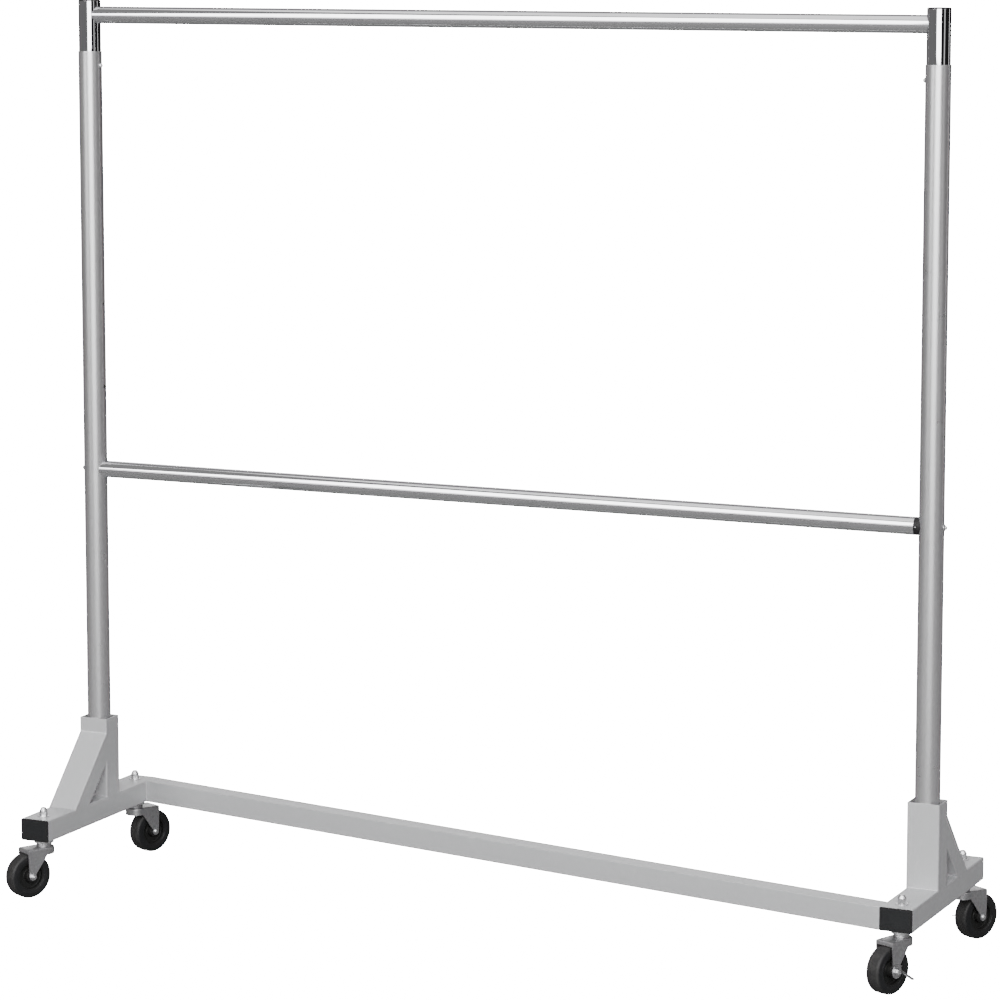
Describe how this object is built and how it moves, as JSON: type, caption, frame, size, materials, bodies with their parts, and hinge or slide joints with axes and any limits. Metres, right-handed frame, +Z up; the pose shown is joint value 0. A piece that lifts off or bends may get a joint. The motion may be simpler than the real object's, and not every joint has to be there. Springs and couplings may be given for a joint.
{
  "type": "garment rail",
  "caption": "Rolling garment rail: a height-adjustable chrome hanging rail over a lower one, between round uprights on a Z-shaped steel base with swivel casters.",
  "frame": {"origin": "on the floor under the middle of the base, halfway between the uprights", "axes": "+X along the rails towards the end whose casters have brakes, +Y to the back, +Z up"},
  "size_m": [1.7848, 0.5656, 1.695],
  "materials": {
    "silver_paint": "silver powder paint, satin",
    "satin_steel": "satin steel tube, faint grain round the tube",
    "chrome_tube": "polished chrome",
    "bright_steel": "bright plated fasteners",
    "zinc_plate": "zinc plated pressed steel",
    "black_plastic": "matte black moulded plastic",
    "wheel_core": "matte black moulded plastic",
    "tyre_rubber": "matte black hard rubber"
  },
  "bodies": {
    "base_frame": {"long_bar": "silver_paint", "mid_rail": "chrome_tube", "rail_collar": "black_plastic", "rail_insert": "zinc_plate", "end_bar_left": "silver_paint", "socket_left": "silver_paint", "brace_left": "silver_paint", "end_cap_left_outer": "black_plastic", "end_cap_left_inner": "black_plastic", "upright_left": "satin_steel", "rail_bolt_left": "bright_steel", "end_bar_right": "silver_paint", "socket_right": "silver_paint", "brace_right": "silver_paint", "end_cap_right_outer": "black_plastic", "end_cap_right_inner": "black_plastic", "upright_right": "satin_steel", "rail_bolt_right": "bright_steel", "caster_stem_left_front": "bright_steel", "stem_nut_left_front": "bright_steel", "caster_stem_left_rear": "bright_steel", "stem_nut_left_rear": "bright_steel", "caster_stem_right_front": "bright_steel", "stem_nut_right_front": "bright_steel", "caster_stem_right_rear": "bright_steel", "stem_nut_right_rear": "bright_steel"},
    "top_frame": {"riser_left": "chrome_tube", "riser_right": "chrome_tube", "riser_cap_left": "black_plastic", "riser_cap_right": "black_plastic", "top_rail": "chrome_tube"},
    "lock_screw_left_body": {"lock_screw_left": "bright_steel"},
    "lock_screw_right_body": {"lock_screw_right": "bright_steel"},
    "swivel_left_front": {"caster_fork_left_front": "zinc_plate", "caster_axle_left_front": "bright_steel", "axle_bush_left_front": "bright_steel", "axle_nut_left_front": "bright_steel"},
    "wheel_left_front": {"wheel_hub_left_front": "wheel_core", "wheel_tyre_left_front": "tyre_rubber"},
    "swivel_left_rear": {"caster_fork_left_rear": "zinc_plate", "caster_axle_left_rear": "bright_steel", "axle_bush_left_rear": "bright_steel", "axle_nut_left_rear": "bright_steel"},
    "wheel_left_rear": {"wheel_hub_left_rear": "wheel_core", "wheel_tyre_left_rear": "tyre_rubber"},
    "swivel_right_front": {"caster_fork_right_front": "zinc_plate", "caster_axle_right_front": "bright_steel", "axle_bush_right_front": "bright_steel", "axle_nut_right_front": "bright_steel"},
    "wheel_right_front": {"wheel_hub_right_front": "wheel_core", "wheel_tyre_right_front": "tyre_rubber"},
    "brake_right_front": {"brake_lever_right_front": "zinc_plate"},
    "swivel_right_rear": {"caster_fork_right_rear": "zinc_plate", "caster_axle_right_rear": "bright_steel", "axle_bush_right_rear": "bright_steel", "axle_nut_right_rear": "bright_steel"},
    "wheel_right_rear": {"wheel_hub_right_rear": "wheel_core", "wheel_tyre_right_rear": "tyre_rubber"},
    "brake_right_rear": {"brake_lever_right_rear": "zinc_plate"}
  },
  "joints": [
    {"name": "top_rail_height", "type": "slide", "parent": "base_frame", "child": "top_frame", "axis": [0, 0, 1], "range_m": [0, 0.3]},
    {"name": "lock_screw_left_turn", "type": "hinge", "parent": "base_frame", "child": "lock_screw_left_body", "pos_m": [-0.8225, 0, 1.57], "axis": [1, 0, 0], "continuous": true},
    {"name": "lock_screw_right_turn", "type": "hinge", "parent": "base_frame", "child": "lock_screw_right_body", "pos_m": [0.8225, 0, 1.57], "axis": [-1, 0, 0], "continuous": true},
    {"name": "caster_swivel_left_front", "type": "hinge", "parent": "base_frame", "child": "swivel_left_front", "pos_m": [-0.845, -0.209, 0.1], "axis": [0, 0, 1], "continuous": true},
    {"name": "wheel_roll_left_front", "type": "hinge", "parent": "swivel_left_front", "child": "wheel_left_front", "pos_m": [-0.8619, -0.24079, 0.04279], "axis": [0.8829, -0.4695, 0], "continuous": true},
    {"name": "caster_swivel_left_rear", "type": "hinge", "parent": "base_frame", "child": "swivel_left_rear", "pos_m": [-0.845, 0.133, 0.1], "axis": [0, 0, 1], "continuous": true},
    {"name": "wheel_roll_left_rear", "type": "hinge", "parent": "swivel_left_rear", "child": "wheel_left_rear", "pos_m": [-0.83151, 0.16638, 0.04279], "axis": [-0.9272, 0.3746, 0], "continuous": true},
    {"name": "caster_swivel_right_front", "type": "hinge", "parent": "base_frame", "child": "swivel_right_front", "pos_m": [0.845, -0.133, 0.1], "axis": [0, 0, 1], "continuous": true},
    {"name": "wheel_roll_right_front", "type": "hinge", "parent": "swivel_right_front", "child": "wheel_right_front", "pos_m": [0.83151, -0.16638, 0.04279], "axis": [0.9272, -0.3746, 0], "continuous": true},
    {"name": "brake_turn_right_front", "type": "hinge", "parent": "swivel_right_front", "child": "brake_right_front", "pos_m": [0.83151, -0.16638, 0.04279], "axis": [0.9272, -0.3746, 0], "range_deg": [0, 75]},
    {"name": "caster_swivel_right_rear", "type": "hinge", "parent": "base_frame", "child": "swivel_right_rear", "pos_m": [0.845, 0.209, 0.1], "axis": [0, 0, 1], "continuous": true},
    {"name": "wheel_roll_right_rear", "type": "hinge", "parent": "swivel_right_rear", "child": "wheel_right_rear", "pos_m": [0.8619, 0.24079, 0.04279], "axis": [-0.8829, 0.4695, 0], "continuous": true},
    {"name": "brake_turn_right_rear", "type": "hinge", "parent": "swivel_right_rear", "child": "brake_right_rear", "pos_m": [0.8619, 0.24079, 0.04279], "axis": [-0.8829, 0.4695, 0], "range_deg": [0, 75]}
  ]
}
